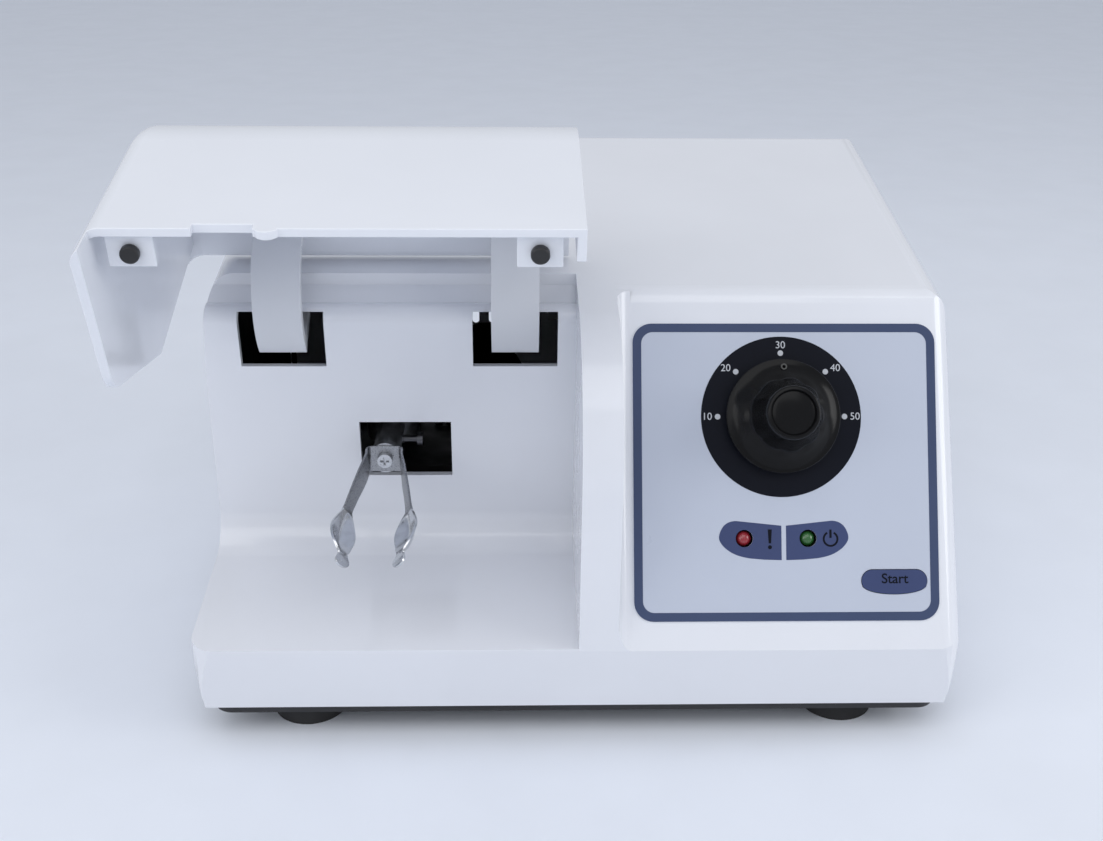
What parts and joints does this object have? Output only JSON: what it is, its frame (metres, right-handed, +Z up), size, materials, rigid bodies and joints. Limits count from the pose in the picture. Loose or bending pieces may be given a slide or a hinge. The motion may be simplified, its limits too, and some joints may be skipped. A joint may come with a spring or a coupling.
{
  "type": "dental amalgamator",
  "caption": "Desktop shaker for dental amalgam capsules: white housing, open mixing chamber with a spring clip, hinged lid on gooseneck arms, timer knob and start key.",
  "frame": {"origin": "on the floor, under the middle of the whole object with its lid open", "axes": "+X to the right as the operator sees it, +Y towards the back, +Z up"},
  "size_m": [0.2444, 0.2362, 0.1894],
  "materials": {
    "shell_white": "glossy moulded white plastic with a cool tint",
    "base_black": "black painted sheet steel",
    "foot_rubber": "black rubber",
    "screw_steel": "zinc plated screw steel",
    "label_film": "printed pale blue film with a navy border",
    "knob_black": "semi-gloss black plastic",
    "plated_steel": "zinc plated sheet steel",
    "bright_steel": "ground bright steel",
    "brass_part": "turned brass",
    "lamp_red": "clear red lamp resin",
    "lamp_green": "clear green lamp resin",
    "key_navy": "navy key cap with its word in dark print",
    "switch_black": "black moulded plastic",
    "board_green": "green circuit board laminate",
    "relay_blue": "blue relay case",
    "cap_sleeve": "dark shrink sleeve",
    "core_steel": "varnished laminated steel core",
    "lid_white": "glossy moulded white plastic",
    "arm_white": "white moulded plastic",
    "bumper_rubber": "black rubber",
    "magnet_dark": "dark ferrite",
    "winding_copper": "copper winding on an iron core",
    "spring_dark": "phosphated spring steel",
    "arm_alloy": "die-cast alloy",
    "clip_steel": "polished spring steel",
    "rocker_red": "red moulded plastic"
  },
  "bodies": {
    "base": {"housing": "shell_white", "base_plate": "base_black", "rubber_feet": "foot_rubber", "base_screws": "screw_steel", "control_label": "label_film", "potentiometer": "plated_steel", "potentiometer_nut": "brass_part", "red_lamp": "lamp_red", "green_lamp": "lamp_green", "start_switch": "switch_black", "control_board": "board_green", "board_screws": "screw_steel", "relay": "relay_blue", "capacitors": "cap_sleeve", "transformer": "core_steel", "transformer_screws": "screw_steel", "hinge_pin": "bright_steel", "hinge_brackets": "plated_steel", "hinge_screws": "screw_steel", "lid_switch": "switch_black", "motor_can": "plated_steel", "motor_magnets": "magnet_dark", "motor_mount": "plated_steel", "motor_screws": "screw_steel", "mount_screws": "screw_steel", "pivot_pin": "bright_steel", "pivot_clip": "spring_dark", "power_inlet": "switch_black", "inlet_pins": "brass_part", "inlet_screws": "screw_steel", "power_switch": "switch_black", "fuse_holder": "switch_black", "fuse_cap": "switch_black"},
    "lid": {"lid_cover": "lid_white", "lid_arms": "arm_white", "lid_bumpers": "bumper_rubber"},
    "knob": {"timer_knob": "knob_black", "knob_set_screw": "screw_steel", "potentiometer_shaft": "bright_steel"},
    "key": {"start_key": "key_navy"},
    "rocker": {"power_rocker": "rocker_red"},
    "arm": {"shaking_arm": "arm_alloy", "arm_bushes": "brass_part", "clamp_screw": "screw_steel", "clip_washer": "screw_steel", "capsule_clip": "clip_steel", "clip_screw": "screw_steel"},
    "rotor": {"motor_rotor": "winding_copper", "eccentric": "bright_steel", "eccentric_bearing": "bright_steel", "bearing_clip": "spring_dark"}
  },
  "joints": [
    {"name": "lid_hinge", "type": "hinge", "parent": "base", "child": "lid", "pos_m": [-0.05375, -0.00374, 0.12901], "axis": [1, 0, 0], "range_deg": [0, 77.6]},
    {"name": "knob_turn", "type": "hinge", "parent": "base", "child": "knob", "pos_m": [0.06565, -0.04069, 0.09831], "axis": [0, -0.8894, 0.4571], "range_deg": [-135, 135]},
    {"name": "start_press", "type": "slide", "parent": "base", "child": "key", "axis": [0, 0.8894, -0.4571], "range_m": [0, 0.0008], "stiffness_N_per_m": 500},
    {"name": "rocker_tilt", "type": "hinge", "parent": "base", "child": "rocker", "pos_m": [0.01825, 0.11276, 0.038], "axis": [0, 0, 1], "range_deg": [-18, 0]},
    {"name": "arm_swing", "type": "hinge", "parent": "base", "child": "arm", "pos_m": [-0.05975, 0.00826, 0.077], "axis": [0, 0, 1], "range_deg": [-4.5, 4.5]},
    {"name": "motor_spin", "type": "hinge", "parent": "base", "child": "rotor", "pos_m": [-0.05975, 0.03826, 0.077], "axis": [0, 0, 1], "continuous": true}
  ]
}
